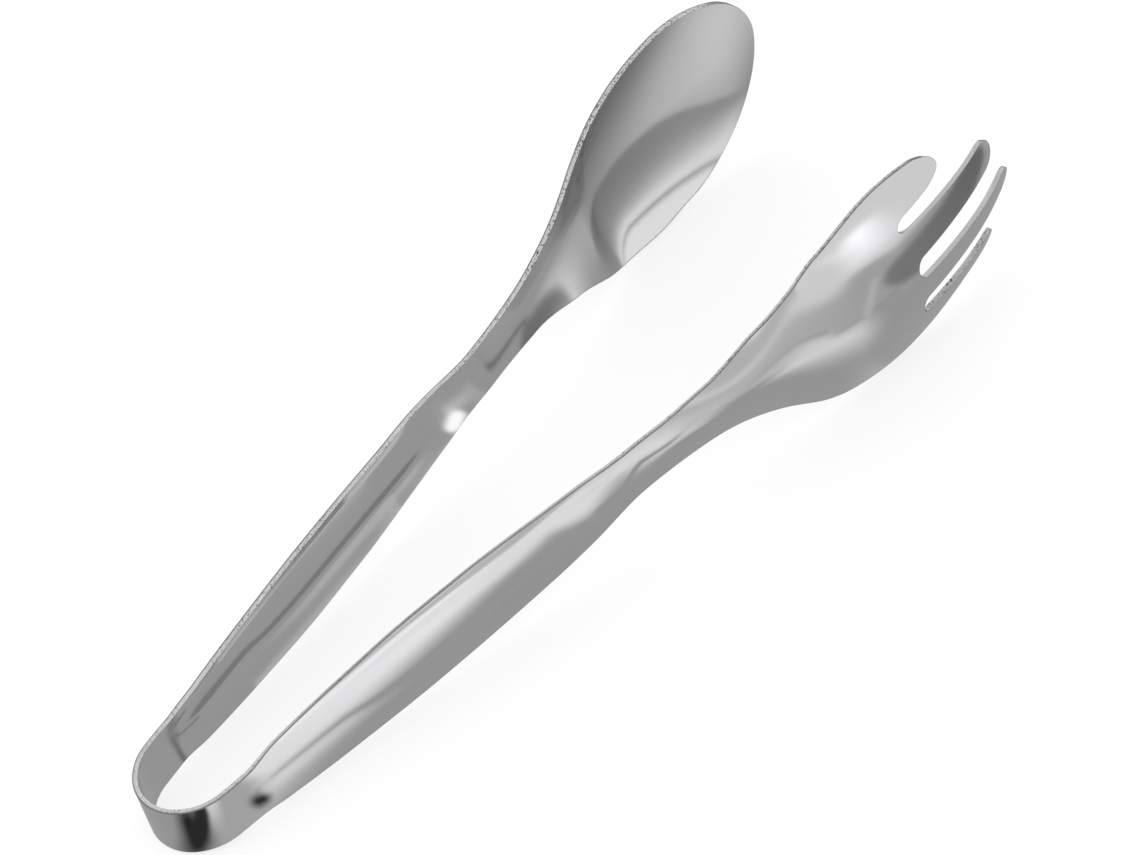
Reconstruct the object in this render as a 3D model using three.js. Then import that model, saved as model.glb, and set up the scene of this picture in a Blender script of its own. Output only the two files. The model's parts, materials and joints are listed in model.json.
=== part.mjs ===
// Serving tongs pressed and bent from one strip of stainless steel. A flat bow at the back is the
// spring, two pressed handles run from it, and one arm ends in a spoon, the other in a four-tined
// fork. Lengths are in millimetres, angles in degrees.
//
// The tongs are worked out lying level: x runs from the bow to the tips, y towards the spoon and z
// across the strip. A station is a distance along the middle of the strip from the top of the bow.
// At the end they are tipped onto the three edges that they rest on, with the table at z = 0.

import * as THREE from 'three';

// Strip
const sheetThickness = 1.3;
const armLength = 262;
const bandWidth = 15;
const handleWidth = 23.6;
const neckWidth = 14.8;
const spoonWidth = 55.8;
const forkWidth = 54.7;
const forkWaistWidth = 47.4;

// Bow: tight at its top, wider from the turn angle on, and then the angles of each arm's middle line
// to the middle plane
const bowTopRadius = 11.3;
const bowSideRadius = 13.5;
const bowTurnAngle = 52;
const legAngle = 7.5;
const handleAngle = 7;
const handleEndAngle = 4.4;
const neckAngle = 12.9;
const shoulderAngle = 16;
const bowlAngle = 6.8;
const spoonEndAngle = -6.3;
const spoonLipAngle = 6.9;
const forkPalmAngle = -1.3;
const forkBendAngle = -9.3;
const forkTipAngle = -21.5;

// Radius of the hollow across the strip
const handleHollowRadius = 60;
const neckHollowRadius = 17;
const spoonRootHollowRadius = 46;
const spoonHollowRadius = 65;
const spoonMouthHollowRadius = 80;
const spoonEndHollowRadius = 146;
const forkHollowRadius = 66;

// Rounded end of the spoon, and its fullness as a share of a circle's
const spoonTipLength = 32.7;
const spoonTipFullnessShare = 0.9;

// Slots of the fork: width at the root and at the mouth, and depth of the rounded root
const upperSlotWidth = 4.4;
const upperSlotMouth = 7.4;
const upperSlotRoot = 4.4;
const middleSlotWidth = 6.8;
const middleSlotMouth = 9.4;
const middleSlotRoot = 2.4;
const lowerSlotWidth = 5.6;
const lowerSlotMouth = 8.6;
const lowerSlotRoot = 2.2;
// Middle of each slot, up or down from the middle line
const upperSlotRise = 14.4;
const middleSlotDrop = 1.1;
const lowerSlotDrop = 15;

// Tines, from where they leave the palm to their tips
const upperOuterTineLength = 14;
const upperInnerTineLength = 32.4;
const lowerInnerTineLength = 38.3;
const lowerOuterTineLength = 29.5;
const tineTipLength = 4.4;

// Clearance where the bow flexes
const flexGap = 0.3;

// Places along an arm, as shares of its length
const flexShare = 0.042;
const handleStartShare = 0.095;
const handlePanelShare = 0.137;
const handleMiddleShare = 0.29;
const handleBroadShare = 0.355;
const handleFadeShare = 0.513;
const neckShare = 0.54;
const neckBendShare = 0.568;
const channelShare = 0.63;
const shoulderShare = 0.739;
const bowlShare = 0.797;
const headBroadShare = 0.842;
const tineRootShare = 0.866;
const forkWaistShare = 0.91;
const forkBendShare = 0.935;
const spoonEndShare = 0.935;
const forkTipShare = 1.012;

// Half widths between the named places, as shares of the rise or fall there
const handleRiseShares = [[0.16, 0.31], [0.53, 0.73]];
const handleFallShares = [[0.24, 0.04], [0.54, 0.285], [0.76, 0.585]];
const headRiseShares = [[0.1, 0.002], [0.29, 0.058], [0.5, 0.338], [0.74, 0.82]];

// Share of the handle's hollow that is reached where its pressed panel begins
const handlePanelHollowShare = 0.63;

// Steps of the surface: rows along each zone and columns across it
const crownRows = 12;
const legRows = 6;
const handleRows = 15;
const neckRows = 8;
const bowlRows = 16;
const palmRows = 12;
const tineRows = 8;
const spoonColumns = 12;
const tineColumns = 4;
const slotColumns = 4;
const centreSteps = 1200;

// A smooth curve through [place, value] points that never overshoots them, level past both ends
function profile(points) {
  const slopes = points.map((point, index) => {
    if (index === 0 || index === points.length - 1) return 0;
    const before = rise(points[index - 1], point);
    const after = rise(point, points[index + 1]);
    return before * after > 0 ? 2 * before * after / (before + after) : 0;
  });
  return (place) => {
    const last = points.length - 1;
    if (place <= points[0][0]) return points[0][1];
    if (place >= points[last][0]) return points[last][1];
    const index = points.findIndex((point) => place < point[0]) - 1;
    const [[fromPlace, fromValue], [toPlace, toValue]] = [points[index], points[index + 1]];
    const span = toPlace - fromPlace;
    const t = (place - fromPlace) / span;
    const blend = t * t * (3 - 2 * t);
    const leave = span * slopes[index] * t * (1 - t) * (1 - t);
    const arrive = span * slopes[index + 1] * t * t * (t - 1);
    return fromValue + (toValue - fromValue) * blend + leave + arrive;
  };
}

function rise(from, to) {
  return (to[1] - from[1]) / (to[0] - from[0]);
}

// Points between two [place, value] ends, at shares of the way and of the rise
function between(from, to, shares) {
  return shares.map(([along, up]) => [
    from[0] + along * (to[0] - from[0]),
    from[1] + up * (to[1] - from[1]),
  ]);
}

// Middle line of an arm: two exact arcs at the bow, then a smooth run of angles
function centreLine(angles) {
  const turn = THREE.MathUtils.degToRad(bowTurnAngle);
  const topEnd = bowTopRadius * (Math.PI / 2 - turn);
  const arcEnd = topEnd + bowSideRadius * (turn - THREE.MathUtils.degToRad(legAngle));
  const angleAt = profile([[arcEnd, legAngle], ...angles]);
  const headingAt = (station) => {
    if (station < topEnd) return Math.PI / 2 - station / bowTopRadius;
    if (station < arcEnd) return turn - (station - topEnd) / bowSideRadius;
    return THREE.MathUtils.degToRad(angleAt(station));
  };
  const step = armLength * forkTipShare / centreSteps;
  const line = [[0, 0]];
  for (let index = 0; index < centreSteps; index += 1) {
    const heading = headingAt((index + 0.5) * step);
    const [x, y] = line[index];
    line.push([x + step * Math.cos(heading), y + step * Math.sin(heading)]);
  }
  return (station) => {
    const index = Math.min(Math.floor(station / step), centreSteps - 1);
    const part = station / step - index;
    const [[x0, y0], [x1, y1]] = [line[index], line[index + 1]];
    return { x: x0 + part * (x1 - x0), y: y0 + part * (y1 - y0), heading: headingAt(station) };
  };
}

// Outline of an arm as half widths by station, up to the broadest place of its head
function outline(headWidth, beyond) {
  const start = [armLength * handleStartShare, bandWidth / 2];
  const broad = [armLength * handleMiddleShare, handleWidth / 2];
  const neck = [armLength * neckShare, neckWidth / 2];
  const head = [armLength * headBroadShare, headWidth / 2];
  return profile([
    start, ...between(start, broad, handleRiseShares),
    broad, ...between(broad, neck, handleFallShares),
    neck, ...between(neck, head, headRiseShares),
    head, ...beyond,
  ]);
}

// Hollow across the strip, as the rise per square millimetre away from the middle line
function hollow(beyond) {
  return profile([
    [armLength * handleStartShare, 0],
    [armLength * handlePanelShare, handlePanelHollowShare / (2 * handleHollowRadius)],
    [armLength * handleMiddleShare, 1 / (2 * handleHollowRadius)],
    [armLength * handleBroadShare, 1 / (2 * handleHollowRadius)],
    [armLength * handleFadeShare, 0],
    [armLength * channelShare, 1 / (2 * neckHollowRadius)],
    ...beyond,
  ]);
}

const sharedAngles = [
  [armLength * handleStartShare, legAngle],
  [armLength * handleMiddleShare, handleAngle],
  [armLength * handleFadeShare, handleEndAngle],
  [armLength * neckBendShare, neckAngle],
  [armLength * shoulderShare, shoulderAngle],
  [armLength * bowlShare, bowlAngle],
];

const spoonArm = {
  side: 1,
  centre: centreLine([
    ...sharedAngles,
    [armLength * spoonEndShare, spoonEndAngle],
    [armLength, spoonLipAngle],
  ]),
  halfWidth: outline(spoonWidth, []),
  hollow: hollow([
    [armLength * shoulderShare, 1 / (2 * spoonRootHollowRadius)],
    [armLength * bowlShare, 1 / (2 * spoonHollowRadius)],
    [armLength * headBroadShare, 1 / (2 * spoonMouthHollowRadius)],
    [armLength * spoonEndShare, 1 / (2 * spoonEndHollowRadius)],
    [armLength, 0],
  ]),
};

const forkArm = {
  side: -1,
  centre: centreLine([
    ...sharedAngles,
    [armLength * tineRootShare, forkPalmAngle],
    [armLength * forkBendShare, forkBendAngle],
    [armLength * forkTipShare, forkTipAngle],
  ]),
  halfWidth: outline(forkWidth, [[armLength * forkWaistShare, forkWaistWidth / 2]]),
  hollow: hollow([
    [armLength * shoulderShare, 1 / (2 * forkHollowRadius)],
  ]),
};

// Place of a point on one face of the strip. Offset is measured outwards, square to the section.
function surfacePoint(arm, station, across, offset) {
  const { x, y, heading } = arm.centre(station);
  const bend = arm.hollow(station);
  const slope = -2 * bend * across;
  const square = Math.hypot(1, slope);
  const outwards = -bend * across * across + offset / square;
  const z = across - offset * slope / square;
  return [
    x - outwards * Math.sin(heading),
    arm.side * (y + outwards * Math.cos(heading)),
    z,
  ];
}

// Evenly spaced shares from 0 to 1
function steps(count) {
  return Array.from({ length: count + 1 }, (_, index) => index / count);
}

// Shares from 0 to 1, closer together at both ends
function easedSteps(count) {
  return steps(count).map((share) => (1 - Math.cos(Math.PI * share)) / 2);
}

// Height of a rounded end, from 1 on its middle line to 0 at its sides. A fullness of 1 is a circle.
function roundedEnd(share, fullnessShare = 1) {
  const power = 2 * fullnessShare;
  return Math.max(0, 1 - Math.abs(share) ** power) ** (1 / power);
}

// Closed solid of the strip over a net of [station, across] points
function sheetSolid(net, place, mirrored) {
  const rowCount = net.length;
  const columnCount = net[0].length;
  const positions = [];
  for (const face of [1, -1]) {
    for (const [station, across] of net.flat()) {
      positions.push(...place(station, across, face * sheetThickness / 2));
    }
  }
  const outer = (row, column) => row * columnCount + column;
  const inner = (row, column) => (rowCount + row) * columnCount + column;
  const indices = [];
  const quad = (a, b, c, d) => indices.push(...(mirrored ? [a, c, b, a, d, c] : [a, b, c, a, c, d]));
  for (let row = 0; row < rowCount - 1; row += 1) {
    for (let column = 0; column < columnCount - 1; column += 1) {
      quad(outer(row, column), outer(row, column + 1), outer(row + 1, column + 1), outer(row + 1, column));
      quad(inner(row, column), inner(row + 1, column), inner(row + 1, column + 1), inner(row, column + 1));
    }
    quad(outer(row, 0), outer(row + 1, 0), inner(row + 1, 0), inner(row, 0));
    const last = columnCount - 1;
    quad(outer(row, last), inner(row, last), inner(row + 1, last), outer(row + 1, last));
  }
  for (let column = 0; column < columnCount - 1; column += 1) {
    quad(outer(0, column), inner(0, column), inner(0, column + 1), outer(0, column + 1));
    const last = rowCount - 1;
    quad(outer(last, column), outer(last, column + 1), inner(last, column + 1), inner(last, column));
  }
  const geometry = new THREE.BufferGeometry();
  geometry.setAttribute('position', new THREE.Float32BufferAttribute(positions, 3));
  geometry.setIndex(indices);
  geometry.computeVertexNormals();
  return geometry;
}

function steelMesh(name, geometry) {
  const steel = new THREE.MeshStandardMaterial({ color: 0xb4b5b7, roughness: 0.18, metalness: 1 });
  const mesh = new THREE.Mesh(geometry, steel);
  mesh.name = name;
  return mesh;
}

// Zone of an arm between two stations, over the whole width of the strip
function zone(name, arm, from, to, rows, columns) {
  const net = steps(rows).map((along) => {
    const station = from + along * (to - from);
    return columns.map((share) => [station, share * arm.halfWidth(station)]);
  });
  return steelMesh(name, armSolid(arm, net));
}

function armSolid(arm, net) {
  const place = (station, across, offset) => surfacePoint(arm, station, across, offset);
  return sheetSolid(net, place, arm.side < 0);
}

// Top of the bow, from the fork's side round to the spoon's
function crown() {
  const end = armLength * flexShare - flexGap / 2;
  const net = steps(crownRows).map((along) => {
    const station = end * (2 * along - 1);
    return spoonShares.map((share) => [station, share * bandWidth / 2]);
  });
  const place = (station, across, offset) => {
    const [x, y, z] = surfacePoint(spoonArm, Math.abs(station), across, offset);
    return [x, Math.sign(station) * y, z];
  };
  return steelMesh('bow_crown', sheetSolid(net, place, false));
}

// Bowl of the spoon, with its columns ending on the rounded tip
function spoonBowl() {
  const from = armLength * shoulderShare;
  const capStart = armLength - spoonTipLength;
  const net = steps(bowlRows).map((along) => spoonShares.map((share) => {
    const end = capStart + spoonTipLength * roundedEnd(share, spoonTipFullnessShare);
    const station = from + along * (end - from);
    return [station, share * spoonArm.halfWidth(station)];
  }));
  return steelMesh('spoon_bowl', armSolid(spoonArm, net));
}

// Slots, from the lower edge up: edges across at the root and at the mouth, and the root's depth
function slot(middle, width, mouth, rootDepth) {
  const edges = (size) => [middle - size / 2, middle + size / 2];
  return { middle, width, root: edges(width), mouth: edges(mouth), rootDepth };
}

const slots = [
  slot(-lowerSlotDrop, lowerSlotWidth, lowerSlotMouth, lowerSlotRoot),
  slot(-middleSlotDrop, middleSlotWidth, middleSlotMouth, middleSlotRoot),
  slot(upperSlotRise, upperSlotWidth, upperSlotMouth, upperSlotRoot),
];

const tines = [
  { name: 'fork_tine_lower_outer', length: lowerOuterTineLength },
  { name: 'fork_tine_lower_inner', length: lowerInnerTineLength },
  { name: 'fork_tine_upper_inner', length: upperInnerTineLength },
  { name: 'fork_tine_upper_outer', length: upperOuterTineLength },
];

const tineRoot = armLength * tineRootShare;
const palmHalfWidth = forkArm.halfWidth(tineRoot);
const longestTine = Math.max(...tines.map((tine) => tine.length));

// Edges of a tine across the strip, at its root and where a slot's mouth is measured
function tineEdges(index) {
  const below = slots[index - 1];
  const above = slots[index];
  const side = (station) => forkArm.halfWidth(station);
  return (station) => {
    const share = (station - tineRoot) / longestTine;
    const low = below ? THREE.MathUtils.lerp(below.root[1], below.mouth[1], share) : -side(station);
    const high = above ? THREE.MathUtils.lerp(above.root[0], above.mouth[0], share) : side(station);
    return [low, high];
  };
}

// Columns of the fork, as shares of the half width: each tine's, then each slot's, from below up
function forkShares() {
  const shares = [];
  tines.forEach((_, index) => {
    const [low, high] = tineEdges(index)(tineRoot);
    const inTine = easedSteps(tineColumns).map((share) => THREE.MathUtils.lerp(low, high, share));
    shares.push(...inTine.map((across) => across / palmHalfWidth));
    const above = slots[index];
    if (above) {
      const inSlot = easedSteps(slotColumns).slice(1, -1);
      shares.push(...inSlot.map((share) => (above.root[0] + share * above.width) / palmHalfWidth));
    }
  });
  return shares;
}

// Palm of the fork, with its columns ending on the tines' roots and the slots' rounded roots
function forkPalm() {
  const from = armLength * shoulderShare;
  const endAt = (across) => {
    const hit = slots.find((item) => across > item.root[0] && across < item.root[1]);
    if (!hit) return tineRoot;
    return tineRoot - hit.rootDepth * roundedEnd(2 * (across - hit.middle) / hit.width);
  };
  const columns = forkColumnShares.map((share) => ({ share, end: endAt(share * palmHalfWidth) }));
  const net = steps(palmRows).map((along) => columns.map(({ share, end }) => {
    const station = from + along * (end - from);
    return [station, share * forkArm.halfWidth(station)];
  }));
  return steelMesh('fork_palm', armSolid(forkArm, net));
}

// One tine, with its columns ending on the rounded tip
function forkTine(tine, index) {
  const edgesAt = tineEdges(index);
  const capStart = tineRoot + tine.length - tineTipLength;
  const net = steps(tineRows).map((along) => easedSteps(tineColumns).map((share) => {
    const end = capStart + tineTipLength * roundedEnd(2 * share - 1);
    const station = tineRoot + along * (end - tineRoot);
    const [low, high] = edgesAt(station);
    return [station, THREE.MathUtils.lerp(low, high, share)];
  }));
  return steelMesh(tine.name, armSolid(forkArm, net));
}

const spoonShares = easedSteps(spoonColumns).map((share) => 2 * share - 1);
const forkColumnShares = forkShares();

// Leg of the bow, handle and neck of one arm
function armZones(label, arm, columns) {
  const legStart = armLength * flexShare + flexGap / 2;
  const handleStart = armLength * handleStartShare;
  const neckStart = armLength * handleFadeShare;
  const headStart = armLength * shoulderShare;
  return [
    zone(`${label}_bow_leg`, arm, legStart, handleStart, legRows, columns),
    zone(`${label}_handle`, arm, handleStart, neckStart, handleRows, columns),
    zone(`${label}_neck`, arm, neckStart, headStart, neckRows, columns),
  ];
}

const level = new THREE.Group();
level.add(crown());
level.add(...armZones('spoon', spoonArm, spoonShares), spoonBowl());
level.add(...armZones('fork', forkArm, forkColumnShares), forkPalm(), ...tines.map(forkTine));

// Angle that sets the bow's lower edge and the lower rim of a head on the table
function restAngle() {
  const bowX = -sheetThickness / 2;
  const point = new THREE.Vector3();
  let steepest = 0;
  level.traverse((node) => {
    if (!node.isMesh) return;
    const positions = node.geometry.attributes.position;
    for (let index = 0; index < positions.count; index += 1) {
      point.fromBufferAttribute(positions, index);
      const drop = -bandWidth / 2 - point.z;
      if (drop > 0) steepest = Math.max(steepest, Math.atan2(drop, point.x - bowX));
    }
  });
  return steepest;
}

level.rotation.y = -restAngle();

// Origin on the table, under the middle of the tongs
const tongs = new THREE.Group();
tongs.add(level);
tongs.updateMatrixWorld(true);
const bounds = new THREE.Box3().setFromObject(tongs, true);
const middle = bounds.getCenter(new THREE.Vector3());
level.position.set(-middle.x, -middle.y, -bounds.min.z);
tongs.updateMatrixWorld(true);

export default tongs;
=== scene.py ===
"""Looks of a pair of serving tongs bent from one strip of polished stainless steel.

Each piece is made as the real one is: a flat blank with rounded cut edges, given in stations along
the strip and places across it, is pressed into its bent and hollowed shape by a formula.
"""
import json
import math

import bpy
import numpy as np
from bpy.props import FloatProperty, FloatVectorProperty, IntProperty, PointerProperty
from mathutils import Matrix, Quaternion, Vector
from mathutils.kdtree import KDTree


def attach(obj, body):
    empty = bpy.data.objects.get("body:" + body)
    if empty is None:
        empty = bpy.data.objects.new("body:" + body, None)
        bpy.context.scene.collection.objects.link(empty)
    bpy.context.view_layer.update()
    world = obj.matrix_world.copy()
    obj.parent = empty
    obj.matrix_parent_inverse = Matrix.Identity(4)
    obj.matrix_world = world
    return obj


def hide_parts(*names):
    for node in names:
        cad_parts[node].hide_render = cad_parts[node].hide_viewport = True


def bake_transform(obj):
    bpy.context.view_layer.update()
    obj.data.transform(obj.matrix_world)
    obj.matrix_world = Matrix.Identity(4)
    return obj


bl_info = {
    "name": "Serving tongs",
    "version": (1, 0, 0),
    "blender": (4, 5, 0),
    "location": "View3D > Sidebar > Tongs",
    "description": "Models a pair of one-piece stainless steel serving tongs",
    "category": "Object",
}

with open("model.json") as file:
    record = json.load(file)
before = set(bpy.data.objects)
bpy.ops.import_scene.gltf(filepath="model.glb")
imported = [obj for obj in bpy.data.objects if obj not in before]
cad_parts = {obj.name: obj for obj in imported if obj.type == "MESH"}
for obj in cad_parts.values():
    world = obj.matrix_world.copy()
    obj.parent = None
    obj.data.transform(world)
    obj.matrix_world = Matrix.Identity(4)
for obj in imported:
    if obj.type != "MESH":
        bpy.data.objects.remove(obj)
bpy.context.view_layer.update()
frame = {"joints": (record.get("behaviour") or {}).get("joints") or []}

MM = 0.001


def length(name, millimetres, description):
    return FloatProperty(
        name=name, description=description, default=millimetres * MM, unit="LENGTH", precision=5
    )


def angle(name, degrees, description):
    return FloatProperty(
        name=name, description=description, default=math.radians(degrees), subtype="ANGLE"
    )


def share(name, value, description):
    return FloatProperty(name=name, description=description, default=value)


def grey(name, value, description):
    return FloatVectorProperty(
        name=name, description=description, default=value, size=3, subtype="COLOR"
    )


class TongsStrip(bpy.types.PropertyGroup):
    """Sizes of the strip"""

    thickness: length("Thickness", 1.3, "Thickness of the sheet")
    edge_radius: length("Edge radius", 0.2, "Rounding of the cut edges")
    arm: length("Arm", 262, "Length of an arm along the strip, from the top of the bow")
    band: length("Band", 15, "Width of the flat bow")
    handle: length("Handle", 23.6, "Greatest width of a handle")
    neck: length("Neck", 14.8, "Least width of a neck")
    spoon: length("Spoon", 55.8, "Greatest width of the spoon")
    fork: length("Fork", 54.7, "Greatest width of the fork")
    fork_waist: length("Fork waist", 47.4, "Width of the fork across its tines")
    spoon_tip: length("Spoon tip", 32.7, "Length of the spoon's rounded end")
    cell: length("Mesh cell", 0.6, "Size of the mesh faces along the strip")
    rim_steps: IntProperty(name="Rim steps", description="Steps of a rounded edge", default=3)


class TongsBend(bpy.types.PropertyGroup):
    """Radii and angles of the bends"""

    bow_top: length("Bow top", 11.3, "Radius of the bow at its top")
    bow_side: length("Bow side", 13.5, "Radius of the bow at its sides")
    bow_turn: angle("Bow turn", 52, "Angle at which the bow's radius changes")
    leg: angle("Leg", 7.5, "Angle of a bow leg to the middle plane")
    handle: angle("Handle", 7, "Angle of a handle")
    handle_end: angle("Handle end", 4.4, "Angle at the end of a handle")
    neck: angle("Neck", 12.9, "Angle of a neck")
    shoulder: angle("Shoulder", 16, "Angle where a head begins")
    bowl: angle("Bowl", 6.8, "Angle at the deepest place of a head")
    spoon_end: angle("Spoon end", -6.3, "Angle towards the spoon's end")
    spoon_lip: angle("Spoon lip", 6.9, "Angle at the spoon's lip")
    palm: angle("Palm", -1.3, "Angle where the tines begin")
    tine: angle("Tine", -9.3, "Angle along the tines")
    tine_end: angle("Tine end", -21.5, "Angle at the tips of the tines")
    handle_hollow: length("Handle hollow", 60, "Radius of the hollow across a handle")
    neck_hollow: length("Neck hollow", 17, "Radius of the hollow across a neck")
    root_hollow: length("Spoon root hollow", 46, "Radius of the hollow where the spoon begins")
    spoon_hollow: length("Spoon hollow", 65, "Radius of the hollow across the spoon")
    mouth_hollow: length("Spoon mouth hollow", 80, "Radius at the spoon's broadest place")
    end_hollow: length("Spoon end hollow", 146, "Radius towards the spoon's end")
    fork_hollow: length("Fork hollow", 66, "Radius of the hollow across the fork")


class TongsSlot(bpy.types.PropertyGroup):
    """Sizes of the slots and tines"""

    upper_width: length("Upper slot", 4.4, "Width of the upper slot at its root")
    upper_mouth: length("Upper mouth", 7.4, "Width of the upper slot at its mouth")
    upper_root: length("Upper root", 4.4, "Depth of the upper slot's rounded root")
    upper_rise: length("Upper rise", 14.4, "Height of the upper slot over the middle line")
    middle_width: length("Middle slot", 6.8, "Width of the middle slot at its root")
    middle_mouth: length("Middle mouth", 9.4, "Width of the middle slot at its mouth")
    middle_root: length("Middle root", 2.4, "Depth of the middle slot's rounded root")
    middle_drop: length("Middle drop", 1.1, "Depth of the middle slot under the middle line")
    lower_width: length("Lower slot", 5.6, "Width of the lower slot at its root")
    lower_mouth: length("Lower mouth", 8.6, "Width of the lower slot at its mouth")
    lower_root: length("Lower root", 2.2, "Depth of the lower slot's rounded root")
    lower_drop: length("Lower drop", 15, "Depth of the lower slot under the middle line")
    upper_outer: length("Upper outer tine", 14, "Length of the upper outer tine")
    upper_inner: length("Upper inner tine", 32.4, "Length of the upper inner tine")
    lower_inner: length("Lower inner tine", 38.3, "Length of the lower inner tine")
    lower_outer: length("Lower outer tine", 29.5, "Length of the lower outer tine")


class TongsSteel(bpy.types.PropertyGroup):
    """Finish of the steel"""

    colour: grey("Steel", (0.72, 0.72, 0.72), "Colour of the polished faces")
    roughness: share("Roughness", 0.06, "Roughness of the polished faces")
    edge: grey("Edge", (0.6, 0.6, 0.6), "Colour of the sheared outer edges")
    # The burr band on the outer side of the sheared edges is painted darker, as shade on the side
    # that faces away
    burr_and_shade: grey("Burr", (0.24, 0.24, 0.24), "Colour of the sheared edges' outer side")
    slot: grey("Slot", (0.52, 0.52, 0.52), "Colour of the punched slots' walls")
    speck: grey("Speck", (0.12, 0.12, 0.12), "Colour of the torn specks in the edges")


class TongsStage(bpy.types.PropertyGroup):
    """Camera, lamps and floor"""

    lens: FloatProperty(
        name="Lens", description="Focal length in millimetres of the camera", default=186.1
    )
    roll: angle("Roll", -11.95, "Turn of the camera about its line of sight")
    daylight: share("Daylight", 0.8, "Strength of the even light all round")
    # The floor's level is a painted shade that the steel mirrors wherever no field covers it
    floor: share("Floor", 0.41, "Level of the floor that the steel mirrors")
    floor_shadow: share("Floor shadow", 0.28, "Share of the object's shadow that shows")


# Places along an arm, as shares of its length
FLEX_SHARE = 0.042
HANDLE_START_SHARE = 0.095
HANDLE_PANEL_SHARE = 0.137
HANDLE_MIDDLE_SHARE = 0.29
HANDLE_BROAD_SHARE = 0.355
HANDLE_FADE_SHARE = 0.513
NECK_SHARE = 0.54
NECK_BEND_SHARE = 0.568
CHANNEL_SHARE = 0.63
SHOULDER_SHARE = 0.739
BOWL_SHARE = 0.797
HEAD_BROAD_SHARE = 0.842
TINE_ROOT_SHARE = 0.866
FORK_WAIST_SHARE = 0.94
FORK_BEND_SHARE = 0.935
SPOON_END_SHARE = 0.935
FORK_TIP_SHARE = 1.012

# Half widths between the named places, as shares of the rise or fall there
HANDLE_RISE_SHARES = ((0.16, 0.31), (0.53, 0.73))
HANDLE_FALL_SHARES = ((0.24, 0.04), (0.54, 0.285), (0.76, 0.585))
HEAD_RISE_SHARES = ((0.1, 0.002), (0.29, 0.058), (0.5, 0.338), (0.74, 0.82))
HEAD_FALL_SHARES = ((0.23, 0.11), (0.46, 0.38), (0.69, 0.74))
PANEL_HOLLOW_SHARE = 0.63
SPOON_FULLNESS = 3.0
NECK_FULLNESS = 1.4

# The spoon's basin: its upper line as (station, across) and its share of depth by station, with
# places in millimetres
BASIN_LINE = (
    (190, -18), (196, -7.5), (203, -2.2), (213, -0.8),
    (226, -2), (235, -4.8), (244, -9.5), (256, -14),
)
BASIN_FADE = ((190, 0), (200, 1), (246, 1), (258, 0))
BASIN_SLOPE = 0.14
BASIN_CREASE = 0.8 * MM

# Faint lengthwise folds, in millimetres: line as (station, across), share of depth by station,
# depth, and how far the fold reaches under and over its line
HANDLE_FOLD = (
    ((26, 0.5), (50, 0.2), (62, -2), (75, -3), (110, -3.5), (124, -3)),
    ((24, 0), (34, 1), (112, 1), (128, 0)),
    0.3,
    (2, 1.1),
)
NECK_FOLD = (
    ((124, -2), (135, -2.6), (143.5, 1.2), (150, 0.9), (164, 2.4)),
    ((125, 0), (132, 1), (148, 1), (166, 0)),
    0.14,
    (5, 0.9),
)

# The upper edge, turned inwards: its share of depth by station on each arm, in millimetres
SPOON_TURNED = ((20, 0), (36, 1), (106, 1), (124, 0))
FORK_TURNED = ((20, 0), (36, 1), (124, 1), (158, 0))
TURNED_DEPTH = 0.75 * MM
TURNED_WIDTH = 3.8 * MM
TURNED_POWER = 1.6

# Rounded ends of the spoon and the tines
SPOON_TIP_FULLNESS_SHARE = 0.9
TINE_TIP = 4.4 * MM
BROAD_TIP = 7 * MM
BROAD_TIP_SHARE = 0.36

# Steps of the middle line and of the meshes. A face lies beyond FACE_SHARE of half the
# thickness, and TINY keeps the middle line off a power of zero.
CENTRE_STEPS = 6000
SLOPE_STEP = 0.01 * MM
SLOT_COLUMNS = 14
TINE_COLUMNS = 18
BOWL_COLUMNS = 96
LEAST_ROWS = 2
LEAST_COLUMNS = 8
LEAST_TINE_COLUMNS = 4
FACE_SHARE = 0.999
TINY = 1e-9

FINISHES = ("polished_steel", "sheared_edge", "slot_wall")

# Noise of the finishes per metre along the strip, across it and through the sheet
STREAKS = (30, 1500, 1)
WAVES = (12, 380, 1)
CLOUDS = (90, 160, 1)
DRAWN_LINES = (90, 90, 3400)
GRAIN = (1900, 1900, 3400)
CLUSTERS = (60, 60, 60)
FINE_DETAIL = 3.0
COARSE_DETAIL = 1.0

# Ranges of a noise's value that are used, and the shares that they give
MIDDLE_NOISE = (0.3, 0.7)
SPECK_NOISE = (0.54, 0.66)
CLUSTER_NOISE = (0.36, 0.54)
STREAK_SHARES = (0.7, 1.5)
CLOUD_SHARES = (0.97, 1.03)
DRAWN_SHARES = (0.82, 1.12)
CLUSTER_SHARES = (0.3, 1)

# Relief of the finishes, and the places where they change
POLISH_WAVE = 0.1 * MM
WALL_GRAIN = 0.01 * MM
WALL_ROUGHNESS = 0.3
BURR_AND_SHADE_PLACE = (0.24 * MM, 0.4 * MM)
WAVE_PLACE = (120 * MM, 160 * MM)
TORN_PLACE = (-16 * MM, -12 * MM)
TORN_NECK = (132 * MM, 160 * MM)
TORN_PAST_NECK = 2.6

# Shares of torn specks in a cut edge, on the strip's middle and near its lower edge
SHEARED_TORN = (0.8, 0.8)
SLOT_TORN = (0.12, 0.65)

# Camera and floor, in metres in the frame's own axes
CAMERA_PLACE = Vector((-0.58141, -0.74114, 0.9924))
CAMERA_TARGET = Vector((0.00849, -0.00351, 0.02))
SENSOR_WIDTH_MM = 36
FLOOR_SIZE = 6.0
FLOOR_DROP = 0.2 * MM
FLOOR_COLOUR = (0.95, 0.95, 0.95)
FLOOR_ROUGHNESS = 0.9
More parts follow.
